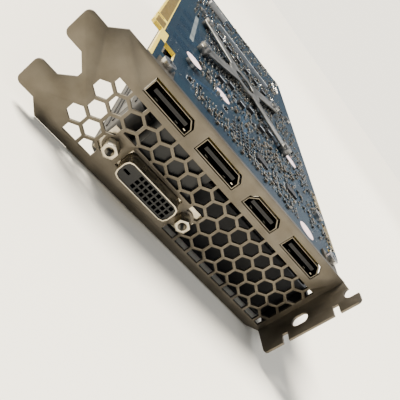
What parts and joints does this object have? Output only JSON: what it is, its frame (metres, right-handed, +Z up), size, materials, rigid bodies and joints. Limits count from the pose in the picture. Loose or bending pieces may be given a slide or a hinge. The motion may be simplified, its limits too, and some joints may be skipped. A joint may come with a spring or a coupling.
{
  "type": "graphics card",
  "caption": "Dual-slot graphics card: blue board, vented steel port bracket, finned cooler with heat pipes and free-spinning fans in a shroud.",
  "frame": {"origin": "centre of the card's footprint on the surface that the shroud's face lies on", "axes": "+X along the card away from the port bracket, +Y toward the slot connector and the bracket's tabs, +Z up out of the board's solder side"},
  "size_m": [0.2742, 0.1258, 0.043],
  "materials": {
    "bracket_steel": "nickel-plated sheet, warm grey, satin",
    "port_steel": "tinned sheet, satin",
    "port_plastic": "black moulding",
    "board_laminate": "dark blue solder mask over glass laminate",
    "gold_plating": "gold-plated contacts",
    "package_laminate": "green package laminate",
    "silicon": "bare silicon, polished",
    "chip_plastic": "black moulded chips",
    "thermal_pad": "grey silicone pad",
    "ferrite": "pressed ferrite, dark grey",
    "can_aluminium": "plain aluminium, satin",
    "ceramic_tan": "tan ceramic with tinned ends",
    "solder": "solder, bright",
    "sticker_paper": "blank pale pink paper",
    "pin_metal": "tinned pins",
    "white_plastic": "off-white moulding",
    "cross_steel": "spring steel, satin grey",
    "screw_steel": "zinc-plated steel",
    "copper": "plain copper, satin",
    "shroud_plastic": "black moulding, fine grain",
    "fan_plastic": "black moulding",
    "magnet": "bonded ferrite ring",
    "bearing_brass": "sintered bronze",
    "stator_iron": "laminated core with windings"
  },
  "bodies": {
    "card": {"back_ceramic_capacitors": "ceramic_tan", "back_control_chips": "chip_plastic", "back_polymer_capacitors": "chip_plastic", "back_resistors": "chip_plastic", "board_screws": "screw_steel", "bracket_screws": "screw_steel", "circuit_board": "board_laminate", "cold_plate": "copper", "dvi_core": "port_plastic", "dvi_jack_posts": "port_steel", "dvi_shell": "port_steel", "edge_contacts": "gold_plating", "fan_1_bearing": "bearing_brass", "fan_1_carrier": "shroud_plastic", "fan_1_duct": "shroud_plastic", "fan_1_stator": "stator_iron", "fan_2_bearing": "bearing_brass", "fan_2_carrier": "shroud_plastic", "fan_2_duct": "shroud_plastic", "fan_2_stator": "stator_iron", "fan_header": "white_plastic", "fin_stack": "can_aluminium", "gpu_die": "silicon", "gpu_substrate": "package_laminate", "heat_pipes": "copper", "io_bracket": "bracket_steel", "link_contacts": "gold_plating", "memory_chips": "chip_plastic", "memory_heat_spreader": "can_aluminium", "memory_thermal_pads": "thermal_pad", "power_capacitors": "can_aluminium", "power_chokes": "ferrite", "power_pins": "pin_metal", "power_socket": "port_plastic", "power_transistors": "chip_plastic", "retention_cross": "cross_steel", "retention_screws": "screw_steel", "round_stickers": "sticker_paper", "shroud_face": "shroud_plastic", "shroud_posts": "shroud_plastic", "shroud_walls": "shroud_plastic", "small_port_core": "port_plastic", "small_port_shell": "port_steel", "solder_joints": "solder", "stiffening_bar": "cross_steel", "tall_port_core_1": "port_plastic", "tall_port_core_2": "port_plastic", "tall_port_core_3": "port_plastic", "tall_port_shell_1": "port_steel", "tall_port_shell_2": "port_steel", "tall_port_shell_3": "port_steel"},
    "fan_1": {"fan_1_rotor": "fan_plastic", "fan_1_magnet": "magnet", "fan_1_shaft": "screw_steel"},
    "fan_2": {"fan_2_rotor": "fan_plastic", "fan_2_magnet": "magnet", "fan_2_shaft": "screw_steel"}
  },
  "joints": [
    {"name": "fan_1_spin", "type": "hinge", "parent": "card", "child": "fan_1", "pos_m": [-0.0504, -0.01448, 0.008], "axis": [0, 0, 1], "continuous": true},
    {"name": "fan_2_spin", "type": "hinge", "parent": "card", "child": "fan_2", "pos_m": [0.0746, -0.01448, 0.008], "axis": [0, 0, 1], "continuous": true}
  ]
}
